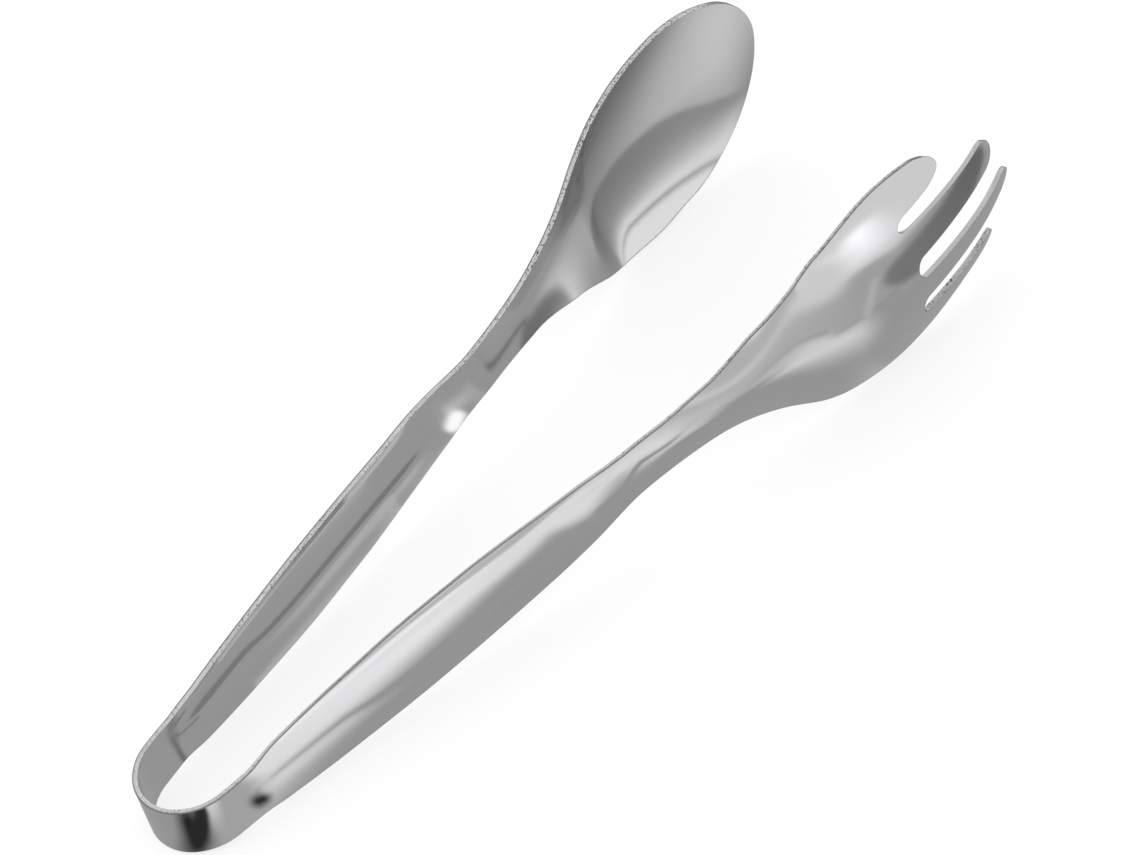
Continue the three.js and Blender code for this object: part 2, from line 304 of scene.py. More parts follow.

# Painted shade and painted light on the floor, in soft grey and white fields that only the polished
# steel sees and mirrors,
# laid over each other in order: start x, y, end x, y, radius and softness in millimetres, level at
# start and at end
FIELDS = {
    "back": (-500, 520, 700, 520, 440, 10, 0.3, 0.3),
    "front": (-60, -400, 400, -400, 294, 9, 0.84, 0.84),
    "front side glow": (92, -230, 112, -200, 12, 20, 1.1, 1.1),
    "front glow": (118, -150, 142, -245, 16, 24, 1.25, 1.7),
    "handle far light": (-95, -180, -45, -200, 85, 30, 1.2, 1.2),
    "handle light": (-110, -62, -25, -93, 43, 8, 1.0, 1.2),
    "handle end light": (-25, -90, -18, -88, 43, 5, 1.05, 1.0),
    "neck light": (0, -52, 12, -56, 11, 2.5, 1.0, 0.9),
    "front shade": (19, -140, 0, -600, 29, 8, 0.6, 0.57),
    "between": (112, -20, 170, -20, 34, 18, 0.95, 0.95),
    "fork foot shade": (90, -47, 170, -44, 16, 4, 0.41, 0.41),
    "palm light": (57, -63, 74, -60, 7, 9, 0.98, 0.85),
    "palm shade line": (40, -70, 96, -67, 1, 1, 0.38, 0.38),
    "palm": (54, -99, 90, -96, 28, 2, 0.56, 0.47),
    "palm far light": (42, -132, 70, -128, 16, 14, 0.84, 0.84),
    "palm root light": (47, -79, 60, -66, 6, 4, 0.66, 0.85),
    "palm root shade line": (38, -92, 63, -75, 0.9, 1.2, 0.4, 0.34),
    "palm light streak": (83, -68, 97, -92, 2, 1.5, 0.6, 0.6),
    "neck far light": (20, -62, 32, -112, 8, 8, 0.98, 0.58),
    "tine shade": (112, -77, 165, -75, 15, 3, 0.24, 0.17),
    "neck shade": (64, -16, 92, -18, 12, 4, 0.2, 0.2),
    "neck shade line": (31, 13.4, 63, -2, 1, 1.3, 0.14, 0.13),
    "spoon foot shade": (84, 46, 170, 46, 16, 12, 0.21, 0.21),
    "handle shade": (-86, -3, 6, -3, 7, 2, 0.26, 0.26),
    "foot shade": (-95, 22, -22, 24, 6, 1.5, 0.22, 0.22),
    "fold light": (-78, 14, -20, 14.5, 2.5, 0.8, 0.57, 0.57),
    "fold end light": (-20, 22, 8, 25, 8, 1.5, 0.6, 0.6),
    "handle end glow": (11, 10.5, 20, 12.2, 1.1, 2, 0.78, 0.56),
    "handle glint": (7, 14.2, 9.5, 13.4, 2.1, 0.9, 1.4, 1.4),
    "bow shade": (-126, -10, -131, -12, 5, 4.5, 0.02, 0.02),
    "bow shade, fork side": (-127, -12, -127, -20, 3.5, 1.5, 0.03, 0.03),
    "bow light": (-114, -11, -110, -27, 7, 4, 0.5, 0.5),
    "leg crease shade, upper": (-94, 7.5, -100, 4.2, 0.5, 0.8, 0.16, 0.16),
    "leg crease shade, lower": (-101, 4.4, -105.5, 10.5, 0.5, 0.8, 0.16, 0.16),
    "pinch shade": (-105, -19.5, -106, -19.5, 1.8, 1.6, 0.02, 0.02),
}

# Lamps: place in metres, side of the square panel in metres, power in watts
LAMPS = {
    "key panel": ((-0.7, 0.9, 1.5), 3.4, 26),
    "fill panel": ((0.9, -1.1, 1.4), 3.4, 15),
}


def profile(points):
    """A smooth curve through (place, value) points that never overshoots, level past both ends"""
    places = np.array([point[0] for point in points])
    values = np.array([point[1] for point in points])
    rises = np.diff(values) / np.diff(places)
    slopes = np.zeros(len(points))
    for index in range(1, len(points) - 1):
        before, after = rises[index - 1], rises[index]
        if before * after > 0:
            slopes[index] = 2 * before * after / (before + after)

    def value_at(place):
        place = np.clip(place, places[0], places[-1])
        index = np.clip(np.searchsorted(places, place, side="right") - 1, 0, len(points) - 2)
        span = places[index + 1] - places[index]
        t = (place - places[index]) / span
        blend = t * t * (3 - 2 * t)
        leave = span * slopes[index] * t * (1 - t) ** 2
        arrive = span * slopes[index + 1] * t * t * (t - 1)
        return values[index] + (values[index + 1] - values[index]) * blend + leave + arrive

    return value_at


def between(start, end, shares):
    """Points between two (place, value) ends, at shares of the way and of the rise"""
    return [
        (start[0] + along * (end[0] - start[0]), start[1] + up * (end[1] - start[1]))
        for along, up in shares
    ]


class Arm:
    """One arm of the strip: its middle line, half widths and hollow, by station"""

    def __init__(self, side, strip, bend, angles, widths, hollows, fullness, relief):
        self.side = side
        self.fullness = fullness
        self.relief = relief
        self.top_end = bend.bow_top * (math.pi / 2 - bend.bow_turn)
        self.arc_end = self.top_end + bend.bow_side * (bend.bow_turn - bend.leg)
        self.bend = bend
        self.angle_at = profile([(self.arc_end, bend.leg), *angles])
        self.half_width = profile(widths)
        self.hollow = profile(hollows)
        self.stations = np.linspace(0, strip.arm * FORK_TIP_SHARE, CENTRE_STEPS + 1)
        step = self.stations[1]
        headings = self.heading(self.stations[:-1] + step / 2)
        self.xs = np.concatenate(([0], np.cumsum(np.cos(headings)) * step))
        self.ys = np.concatenate(([0], np.cumsum(np.sin(headings)) * step))

    def heading(self, station):
        bend = self.bend
        top = math.pi / 2 - station / bend.bow_top
        arc = bend.bow_turn - (station - self.top_end) / bend.bow_side
        rest = self.angle_at(station)
        return np.where(
            station < self.top_end, top, np.where(station < self.arc_end, arc, rest)
        )

    def outward(self, station, across):
        """Height of the pressed sheet over its middle line, outwards"""
        from_middle = np.abs(across) / self.half_width(station) + TINY
        fullness = self.fullness(station)
        fuller = from_middle ** (np.where(across < 0, fullness, np.minimum(fullness, 2)) - 2)
        height = -self.hollow(station) * across**2 * fuller
        return height + self.relief(station, across)

    def section(self, station, across, height):
        """Place in the section of the strip: outwards from the middle line, and across"""
        ahead = self.outward(station, across + SLOPE_STEP)
        slope = (ahead - self.outward(station, across - SLOPE_STEP)) / (2 * SLOPE_STEP)
        square = np.hypot(1, slope)
        return self.outward(station, across) + height / square, across - height * slope / square

    def pressed(self, blank):
        """Places of blank points (station, across, height) on the bent strip"""
        station, across, height = blank.T
        outwards, up = self.section(station, across, height)
        heading = self.heading(station)
        x = np.interp(station, self.stations, self.xs) - outwards * np.sin(heading)
        y = np.interp(station, self.stations, self.ys) + outwards * np.cos(heading)
        return np.column_stack((x, self.side * y, up))

    def pressed_normals(self, blank, normals):
        """Directions of blank normals on the bent strip"""
        station, across, height = blank.T
        heading = self.heading(station)
        turn = (self.heading(station + SLOPE_STEP) - self.heading(station - SLOPE_STEP)) / (
            2 * SLOPE_STEP
        )
        outwards, _ = self.section(station, across, height)
        along = np.column_stack((np.cos(heading), np.sin(heading), np.zeros(len(heading))))
        out = np.column_stack((-np.sin(heading), np.cos(heading), np.zeros(len(heading))))
        up = np.array((0.0, 0.0, 1.0))
        tangents = []
        for column in range(3):
            step = np.zeros(3)
            step[column] = SLOPE_STEP
            ahead = np.array(self.section(*(blank + step).T))
            behind = np.array(self.section(*(blank - step).T))
            change = (ahead - behind) / (2 * SLOPE_STEP)
            tangents.append(change[0][:, None] * out + change[1][:, None] * up)
        tangents[0] += (1 - turn * outwards)[:, None] * along
        by_station, by_across, by_height = tangents
        turned = (
            normals[:, :1] * np.cross(by_across, by_height)
            + normals[:, 1:2] * np.cross(by_height, by_station)
            + normals[:, 2:] * np.cross(by_station, by_across)
        )
        handed = np.einsum("ij,ij->i", np.cross(by_station, by_across), by_height)
        turned *= np.sign(handed)[:, None]
        turned[:, 1] *= self.side
        return turned / np.linalg.norm(turned, axis=1)[:, None]


def settings(kind="strip"):
    return getattr(bpy.context.scene, f"tongs_{kind}")


def basin(station, across):
    """Height of the spoon's pressed basin, from a faint crease along the bowl to its lower rim"""
    strip = settings()
    line = profile([(place * MM, low * MM) for place, low in BASIN_LINE])
    fade = profile([(place * MM, part) for place, part in BASIN_FADE])
    tip = (station - (strip.arm - strip.spoon_tip)) / strip.spoon_tip
    rim = strip.spoon / 2 * rounded_end(np.clip(tip, 0, 1), SPOON_TIP_FULLNESS_SHARE)
    width = np.maximum(line(station) + rim, BASIN_CREASE)
    gap = line(station) - across
    gap = (gap + np.hypot(gap, BASIN_CREASE)) / 2
    height = np.sin(math.pi * np.clip(gap / width, 0, 1))
    return BASIN_SLOPE * width / math.pi * fade(station) * height


def pressed_lines(half_width, turned_fade, *lines):
    """Height of the faint lengthwise folds and of the turned upper edge of an arm"""
    folds = []
    for line, fade, depth, (under, over) in lines:
        line = profile([(place * MM, middle * MM) for place, middle in line])
        fade = profile([(place * MM, part) for place, part in fade])
        folds.append((line, fade, depth * MM, under * MM, over * MM))
    turned_fade = profile([(place * MM, part) for place, part in turned_fade])

    def height(station, across):
        turned = np.maximum(0, 1 + (across - half_width(station)) / TURNED_WIDTH)
        total = -TURNED_DEPTH * turned_fade(station) * turned**TURNED_POWER
        for line, fade, depth, under, over in folds:
            gap = across - line(station)
            reach = np.where(gap > 0, over, under)
            total = total - depth * fade(station) * np.exp(-((gap / reach) ** 2) / 2)
        return total

    return height


def arms():
    """The spoon's arm and the fork's arm"""
    strip, bend = settings(), settings("bend")
    at = strip.arm

    def outline(head, beyond):
        start = (at * HANDLE_START_SHARE, strip.band / 2)
        broad = (at * HANDLE_MIDDLE_SHARE, strip.handle / 2)
        neck = (at * NECK_SHARE, strip.neck / 2)
        widest = (at * HEAD_BROAD_SHARE, head / 2)
        return [
            start,
            *between(start, broad, HANDLE_RISE_SHARES),
            broad,
            *between(broad, neck, HANDLE_FALL_SHARES),
            neck,
            *between(neck, widest, HEAD_RISE_SHARES),
            widest,
            *beyond,
        ]

    def hollows(beyond):
        handle = 1 / (2 * bend.handle_hollow)
        return [
            (at * HANDLE_START_SHARE, 0),
            (at * HANDLE_PANEL_SHARE, PANEL_HOLLOW_SHARE * handle),
            (at * HANDLE_MIDDLE_SHARE, handle),
            (at * HANDLE_BROAD_SHARE, handle),
            (at * HANDLE_FADE_SHARE, 0),
            (at * CHANNEL_SHARE, 1 / (2 * bend.neck_hollow)),
            *beyond,
        ]

    shared = [
        (at * HANDLE_START_SHARE, bend.leg),
        (at * HANDLE_MIDDLE_SHARE, bend.handle),
        (at * HANDLE_FADE_SHARE, bend.handle_end),
        (at * NECK_BEND_SHARE, bend.neck),
        (at * SHOULDER_SHARE, bend.shoulder),
        (at * BOWL_SHARE, bend.bowl),
    ]
    widest = (at * HEAD_BROAD_SHARE, strip.fork / 2)
    waist = (at * FORK_WAIST_SHARE, strip.fork_waist / 2)
    spoon_width = profile(outline(strip.spoon, []))
    spoon_lines = pressed_lines(spoon_width, SPOON_TURNED, HANDLE_FOLD)
    spoon = Arm(
        1,
        strip,
        bend,
        [*shared, (at * SPOON_END_SHARE, bend.spoon_end), (at, bend.spoon_lip)],
        outline(strip.spoon, []),
        hollows(
            [
                (at * SHOULDER_SHARE, 1 / (2 * bend.root_hollow)),
                (at * BOWL_SHARE, 1 / (2 * bend.spoon_hollow)),
                (at * HEAD_BROAD_SHARE, 1 / (2 * bend.mouth_hollow)),
                (at * SPOON_END_SHARE, 1 / (2 * bend.end_hollow)),
                (at, 0),
            ]
        ),
        profile(
            [
                (at * NECK_SHARE, 2),
                (at * CHANNEL_SHARE, NECK_FULLNESS),
                (at * SHOULDER_SHARE, NECK_FULLNESS),
                (at * BOWL_SHARE, SPOON_FULLNESS),
            ]
        ),
        lambda station, across: spoon_lines(station, across) + basin(station, across),
    )
    fork = Arm(
        -1,
        strip,
        bend,
        [
            *shared,
            (at * TINE_ROOT_SHARE, bend.palm),
            (at * FORK_BEND_SHARE, bend.tine),
            (at * FORK_TIP_SHARE, bend.tine_end),
        ],
        outline(strip.fork, between(widest, waist, HEAD_FALL_SHARES) + [waist]),
        hollows([(at * SHOULDER_SHARE, 1 / (2 * bend.fork_hollow))]),
        profile([(at * NECK_SHARE, 2), (at * CHANNEL_SHARE, NECK_FULLNESS), (at * BOWL_SHARE, 2)]),
        pressed_lines(spoon_width, FORK_TURNED, HANDLE_FOLD, NECK_FOLD),
    )
    return spoon, fork


def rounded_end(place, fullness_share=1):
    """Height of a rounded end, from 1 on its middle line to 0 at its sides"""
    power = 2 * fullness_share
    return np.maximum(0, 1 - np.abs(place) ** power) ** (1 / power)


def eased(count):
    """Shares from 0 to 1, closer together at both ends"""
    return (1 - np.cos(np.pi * np.linspace(0, 1, count + 1))) / 2


def level_to_frame():
    """Turns the level tongs onto the table, at the hinge that the frame gives"""
    strip = settings()
    joint = next(joint for joint in frame["joints"] if joint["child"] == "spoon_arm")
    tilt = math.atan2(joint["axis"][0], -joint["axis"][2])
    spoon, _ = arms()
    hinge = spoon.pressed(np.array([[strip.arm * FLEX_SHARE, 0, -strip.thickness / 2]]))[0]
    turn = Matrix.Rotation(-tilt, 4, "Y")
    return Matrix.Translation(Vector(joint["pos_m"]) - turn @ Vector(hinge)) @ turn


def vertices_of(obj):
    places = np.zeros(len(obj.data.vertices) * 3)
    obj.data.vertices.foreach_get("co", places)
    return places.reshape(-1, 3)


def rim_steps(strip):
    """Steps round a cut edge, as (outset share, height), from the outer face to the inner one"""
    turns = np.linspace(0, math.pi / 2, strip.rim_steps + 1)
    shares = np.sin(turns)
    heights = strip.thickness / 2 - strip.edge_radius * (1 - np.cos(turns))
    outer = list(zip(shares, heights, turns))
    return outer + [(out, -height, math.pi - turn) for out, height, turn in reversed(outer)]


def outsets(net, end_is_free, radius):
    """Outline vertices of a net with their outset, and their outward direction"""
    rows, columns = net.shape[0] - 1, net.shape[1] - 1
    loop = [(row, 0, True) for row in range(rows)]
    loop += [(rows, column, end_is_free[column]) for column in range(columns)]
    loop += [(row, columns, True) for row in range(rows, 0, -1)]
    loop += [(0, column, False) for column in range(columns, 0, -1)]
    places = np.array([net[row, column] for row, column, _ in loop])
    free = np.array([is_free for _, _, is_free in loop])
    edges = np.roll(places, -1, axis=0) - places
    outward = np.column_stack((edges[:, 1], -edges[:, 0]))
    outward /= np.linalg.norm(outward, axis=1)[:, None]
    before, after = np.roll(outward, 1, axis=0), outward
    free_before = np.roll(free, 1)
    direction = before * free_before[:, None] + after * free[:, None]
    size = np.linalg.norm(direction, axis=1)
    direction[size > 0] /= size[size > 0][:, None]
    shift = direction * radius
    at_seam = free_before != free
    shift[at_seam, 1] = np.sign(direction[at_seam, 1]) * radius
    shift[at_seam, 0] = 0
    return places, shift, direction


def flat_sheet(name, net, steps, arm):
    """A closed flat sheet over a net of (station, across) places, with even steps in its rim"""
    strip = settings()
    rows, columns = net.shape[0] - 1, net.shape[1] - 1
    bpy.ops.object.select_all(action="DESELECT")
    bpy.ops.mesh.primitive_grid_add(x_subdivisions=rows, y_subdivisions=columns, size=1)
    obj = bpy.context.object
    obj.name = obj.data.name = name
    flat = vertices_of(obj)
    row = np.rint((flat[:, 0] + 0.5) * rows).astype(int)
    column = np.rint((flat[:, 1] + 0.5) * columns).astype(int)
    flat[:, :2] = net[row, column]
    flat[:, 2] = strip.thickness / 2
    obj.data.vertices.foreach_set("co", flat.ravel())

    bpy.ops.object.mode_set(mode="EDIT")
    bpy.ops.mesh.select_mode(type="EDGE")
    bpy.ops.mesh.select_all(action="SELECT")
    bpy.ops.mesh.duplicate_move(TRANSFORM_OT_translate={"value": (0, 0, -strip.thickness)})
    bpy.ops.mesh.flip_normals()
    bpy.ops.mesh.select_all(action="DESELECT")
    bpy.ops.mesh.select_non_manifold(use_wire=False, use_multi_face=False, use_non_contiguous=False)
    bpy.ops.mesh.bridge_edge_loops(number_cuts=len(steps) - 2, interpolation="LINEAR")
    if arm.side > 0:
        bpy.ops.mesh.select_all(action="SELECT")
        bpy.ops.mesh.flip_normals()
    bpy.ops.object.mode_set(mode="OBJECT")
    return obj


def round_rim(blank, net, end_is_free, steps):
    """Rounds the rim of a flat sheet's points; gives their normals and which are on the rim"""
    strip = settings()
    half = strip.thickness / 2
    places, shift, direction = outsets(net, end_is_free, strip.edge_radius)
    tree = KDTree(len(places))
    for index, place in enumerate(places):
        tree.insert((*place, 0), index)
    tree.balance()
    normals = np.zeros_like(blank)
    normals[:, 2] = np.sign(blank[:, 2])
    is_rim = np.abs(blank[:, 2]) < half * FACE_SHARE
    gap = 2 * half / (len(steps) - 1)
    for index in np.flatnonzero(is_rim):
        out, height, turn = steps[round((half - blank[index, 2]) / gap)]
        _, nearest, _ = tree.find((blank[index, 0], blank[index, 1], 0))
        blank[index, :2] += shift[nearest] * out
        blank[index, 2] = height
        normals[index, :2] = direction[nearest] * math.sin(turn)
        normals[index, 2] = math.cos(turn)
    is_flat_seam = np.linalg.norm(normals, axis=1) < 0.5
    normals[is_flat_seam, 0] = 1
    return normals, is_rim


def lay_finishes(mesh, is_rim, in_slot):
    """Polished faces, with sheared outer edges and punched walls in the slots"""
    for name in FINISHES:
        mesh.materials.append(bpy.data.materials[name])
    for polygon in mesh.polygons:
        corners = list(polygon.vertices)
        if is_rim[corners].any():
            finish = "slot_wall" if in_slot[corners].all() else "sheared_edge"
            polygon.material_index = FINISHES.index(finish)


def sheet(name, net, end_is_free, press, arm):
    """A closed piece of the strip over a net of (station, across) places, pressed into shape"""
    strip = settings()
    steps = rim_steps(strip)
    obj = flat_sheet(name, net, steps, arm)
    blank = vertices_of(obj)
    normals, is_rim = round_rim(blank, net, end_is_free, steps)
    pressed, turned = press(blank, normals)
    to_frame = np.array(level_to_frame())
    pressed = pressed @ to_frame[:3, :3].T + to_frame[:3, 3]
    turned = turned @ to_frame[:3, :3].T
    mesh = obj.data
    mesh.vertices.foreach_set("co", pressed.ravel())
    along = mesh.attributes.new("strip", "FLOAT_VECTOR", "POINT")
    along.data.foreach_set("vector", blank.ravel())
    in_slot = np.abs(blank[:, 1]) < arm.half_width(np.abs(blank[:, 0])) - strip.thickness / 2
    in_slot &= (blank[:, 0] > strip.arm * BOWL_SHARE) & name.startswith("fork")
    lay_finishes(mesh, is_rim, in_slot)
    mesh.shade_smooth()
    mesh.normals_split_custom_set_from_vertices([tuple(normal) for normal in turned])
    mesh.update()
    return obj


def press_with(arm):
    return lambda blank, normals: (arm.pressed(blank), arm.pressed_normals(blank, normals))


def press_crown(arm):
    """The crown runs on both sides of the bow's top, where stations are counted below zero"""

    def press(blank, normals):
        side = np.where(blank[:, 0] < 0, -1.0, 1.0)
        flip = np.column_stack((side, np.ones((len(side), 2))))
        places = arm.pressed(blank * flip)
        turned = arm.pressed_normals(blank * flip, normals * flip)
        mirror = flip[:, [1, 0, 2]]
        return places * mirror, turned * mirror

    return press


def zone_net(arm, start, end):
    """Net over the whole width of the strip between two stations"""
    strip = settings()
    rows = max(LEAST_ROWS, round((end - start) / strip.cell))
    stations = np.linspace(start, end, rows + 1)
    half = arm.half_width(stations) - strip.edge_radius
    columns = max(LEAST_COLUMNS, round(2 * half.max() / strip.cell))
    shares = np.linspace(-1, 1, columns + 1)
    return np.dstack((np.repeat(stations[:, None], columns + 1, 1), half[:, None] * shares))


def zone(name, arm, start, end, press=None):
    net = zone_net(arm, start, end) if start >= 0 else crown_net(arm, end)
    end_is_free = [False] * (net.shape[1] - 1)
    return sheet(name, net, end_is_free, press or press_with(arm), arm)


def crown_net(arm, end):
    half_net = zone_net(arm, 0, end)
    below = half_net[:0:-1].copy()
    below[:, :, 0] *= -1
    return np.concatenate((below, half_net))


def finish_piece(obj, body, *nodes):
    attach(obj, body)
    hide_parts(*nodes)


def blend_leg(obj, arm, node):
    """Bakes the placement of the flexing side of the bow, from the crown to its arm, and hides the
    part that it stands for
    """
    strip = settings()
    ends = np.array([[strip.arm * FLEX_SHARE, 0, 0], [strip.arm * HANDLE_START_SHARE, 0, 0]])
    start, end = (level_to_frame() @ Vector(place) for place in arm.pressed(ends))
    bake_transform(obj)
    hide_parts(node)


def slots():
    """Slots from the lower edge up: middle, width, mouth and depth of the root"""
    sizes = settings("slot")
    return [
        (-sizes.lower_drop, sizes.lower_width, sizes.lower_mouth, sizes.lower_root),
        (-sizes.middle_drop, sizes.middle_width, sizes.middle_mouth, sizes.middle_root),
        (sizes.upper_rise, sizes.upper_width, sizes.upper_mouth, sizes.upper_root),
    ]


def tines():
    """Tines from the lower edge up: name, length, length of the rounded tip, place of its top"""
    sizes = settings("slot")
    return [
        ("fork_tine_lower_outer", sizes.lower_outer, TINE_TIP, 0.5),
        ("fork_tine_lower_inner", sizes.lower_inner, TINE_TIP, 0.5),
        ("fork_tine_upper_inner", sizes.upper_inner, TINE_TIP, 0.5),
        ("fork_tine_upper_outer", sizes.upper_outer, BROAD_TIP, BROAD_TIP_SHARE),
    ]


def tine_edges(arm, index, station):
    """Edges of a tine's flat face across the strip"""
    strip = settings()
    root = strip.arm * TINE_ROOT_SHARE
    longest = max(tine[1] for tine in tines())
    along = (station - root) / longest
    low = -arm.half_width(station)
    high = arm.half_width(station)
    if index > 0:
        middle, width, mouth, _ = slots()[index - 1]
        low = middle + (width + along * (mouth - width)) / 2
    if index < len(slots()):
        middle, width, mouth, _ = slots()[index]
        high = middle - (width + along * (mouth - width)) / 2
    return low + strip.edge_radius, high - strip.edge_radius


def palm_net(arm):
    """Net of the fork's palm, whose columns end on the tines and on the slots' rounded roots"""
    strip = settings()
    start, root = strip.arm * SHOULDER_SHARE, strip.arm * TINE_ROOT_SHARE
    across, ends, free = [], [], []
    for index in range(len(tines())):
        low, high = (float(edge) for edge in tine_edges(arm, index, root))
        count = max(LEAST_TINE_COLUMNS, round((high - low) / strip.cell))
        across += list(np.linspace(low, high, count + 1))
        ends += [root] * (count + 1)
        free += [False] * count
        if index < len(slots()):
            middle, width, _, depth = slots()[index]
            half = width / 2 + strip.edge_radius
            inside = middle + half * (2 * eased(SLOT_COLUMNS)[1:-1] - 1)
            drop = (depth + strip.edge_radius) * rounded_end((inside - middle) / half)
            across += list(inside)
            ends += list(root - drop)
            free += [True] * SLOT_COLUMNS
    shares = np.array(across) / (float(arm.half_width(root)) - strip.edge_radius)
    rows = round((root - start) / strip.cell)
    along = np.linspace(0, 1, rows + 1)[:, None]
    stations = start + along * (np.array(ends)[None, :] - start)
    return np.dstack((stations, shares * (arm.half_width(stations) - strip.edge_radius))), free


def tine_net(arm, index, size, tip, top):
    strip = settings()
    root = strip.arm * TINE_ROOT_SHARE
    shares = eased(TINE_COLUMNS)
    from_top = np.where(shares < top, (top - shares) / top, (shares - top) / (1 - top))
    ends = root + size - tip + (tip - strip.edge_radius) * rounded_end(from_top)
    along = np.linspace(0, 1, round(size / strip.cell) + 1)[:, None]
    stations = root + along * (ends[None, :] - root)
    low, high = tine_edges(arm, index, stations)
    return np.dstack((stations, low + shares * (high - low)))


def bowl_net(arm):
    strip = settings()
    start = strip.arm * SHOULDER_SHARE
    cap = strip.arm - strip.spoon_tip
    shares = 2 * eased(BOWL_COLUMNS) - 1
    tip = (strip.spoon_tip - strip.edge_radius) * rounded_end(shares, SPOON_TIP_FULLNESS_SHARE)
    along = np.linspace(0, 1, round((strip.arm - start) / strip.cell) + 1)[:, None]
    stations = start + along * (cap + tip[None, :] - start)
    return np.dstack((stations, shares * (arm.half_width(stations) - strip.edge_radius)))


def new_material(name):
    made = bpy.data.materials.new(name)
    made.use_nodes = True
    tree = made.node_tree
    tree.nodes.clear()
    shader = tree.nodes.new("ShaderNodeBsdfPrincipled")
    output = tree.nodes.new("ShaderNodeOutputMaterial")
    tree.links.new(shader.outputs["BSDF"], output.inputs["Surface"])
    return made, tree, shader


def new_node(tree, kind, output, inputs, **options):
    """One output of a new node, whose inputs are given as sockets or as fixed values"""
    node = tree.nodes.new(f"ShaderNode{kind}")
    for name, value in options.items():
        setattr(node, name, value)
    for name, value in inputs.items():
        if isinstance(value, bpy.types.NodeSocket):
            tree.links.new(value, node.inputs[name])
        else:
            node.inputs[name].default_value = value
    return node.outputs[output]


def math_node(tree, operation, *values):
    return new_node(tree, "Math", "Value", dict(enumerate(values)), operation=operation)


def vector_node(tree, operation, first, second, output="Vector"):
    return new_node(tree, "VectorMath", output, {0: first, 1: second}, operation=operation)


def ranged(tree, value, low, high, to_low, to_high, interpolation="LINEAR"):
    """A value brought from one range into another, and kept in it"""
    ends = {"From Min": low, "From Max": high, "To Min": to_low, "To Max": to_high}
    inputs = {"Value": value, **ends}
    return new_node(tree, "MapRange", "Result", inputs, interpolation_type=interpolation)


def strip_coordinates(tree):
    """Places on the flat blank in metres: station, across and height"""
    return new_node(tree, "Attribute", "Vector", {}, attribute_name="strip")


def axis(tree, coordinates, letter):
    return new_node(tree, "SeparateXYZ", letter, {0: coordinates})


def noise(tree, coordinates, per_metre, detail=2.0):
    """Noise over coordinates in metres, with its own scale along each of them"""
    place = new_node(tree, "Mapping", "Vector", {"Vector": coordinates, "Scale": per_metre})
    return new_node(tree, "TexNoise", "Fac", {"Vector": place, "Scale": 1, "Detail": detail})


def mixed(tree, factor, low, high):
    """A colour between two, by a factor"""
    node = tree.nodes.new("ShaderNodeValToRGB")
    node.color_ramp.elements[0].color = (*low, 1)
    node.color_ramp.elements[1].color = (*high, 1)
    tree.links.new(factor, node.inputs["Fac"])
    return node.outputs["Color"]


def laid_over(tree, factor, tone, colour):
    """A plain colour over a tone, by a factor"""
    return new_node(tree, "Mix", 2, {0: factor, 6: tone, 7: (*colour, 1)}, data_type="RGBA")


def bumped(tree, shader, height, distance):
    normal = new_node(tree, "Bump", "Normal", {"Height": height, "Distance": distance})
    tree.links.new(normal, shader.inputs["Normal"])


def shaded(colour, by):
    return [value * by for value in colour]


def with_field(tree, place, level, field):
    """The level, covered by one soft-edged field from a start to an end"""
    start, end = Vector((*field[:2], 0)) * MM, Vector((*field[2:4], 0)) * MM
    radius, soft, level_start, level_end = field[4:]
    line = end - start
    per_line = line / line.length_squared
    from_start = vector_node(tree, "SUBTRACT", place, start)
    passed = vector_node(tree, "DOT_PRODUCT", from_start, per_line, "Value")
    along = ranged(tree, passed, 0, 1, 0, 1)
    gone = new_node(tree, "VectorMath", "Vector", {0: line, "Scale": along}, operation="SCALE")
    away = vector_node(tree, "DISTANCE", from_start, gone, "Value")
    inner, outer = (radius - soft) * MM, (radius + soft) * MM
    cover = ranged(tree, away, inner, outer, 1, 0, "SMOOTHSTEP")
    own = ranged(tree, along, 0, 1, level_start, level_end)
    rise = math_node(tree, "SUBTRACT", own, level)
    return math_node(tree, "MULTIPLY_ADD", rise, cover, level)


def polished_steel(finish):
    """Bright polished faces with faint lengthwise streaks and a slight waviness"""
    _, tree, shader = new_material("polished_steel")
    strip = strip_coordinates(tree)
    shader.inputs["Metallic"].default_value = 1
    streaks = noise(tree, strip, STREAKS)
    least, most = (finish.roughness * part for part in STREAK_SHARES)
    rough = ranged(tree, streaks, *MIDDLE_NOISE, least, most)
    tree.links.new(rough, shader.inputs["Roughness"])
    waves = noise(tree, strip, WAVES)
    fade = ranged(tree, axis(tree, strip, "X"), *WAVE_PLACE, 1, 0)
    bumped(tree, shader, math_node(tree, "MULTIPLY", waves, fade), POLISH_WAVE)
    cloud = ranged(tree, noise(tree, strip, CLOUDS, FINE_DETAIL), *MIDDLE_NOISE, 0, 1)
    dull, bright = (shaded(finish.colour, by) for by in CLOUD_SHARES)
    tree.links.new(mixed(tree, cloud, dull, bright), shader.inputs["Base Color"])


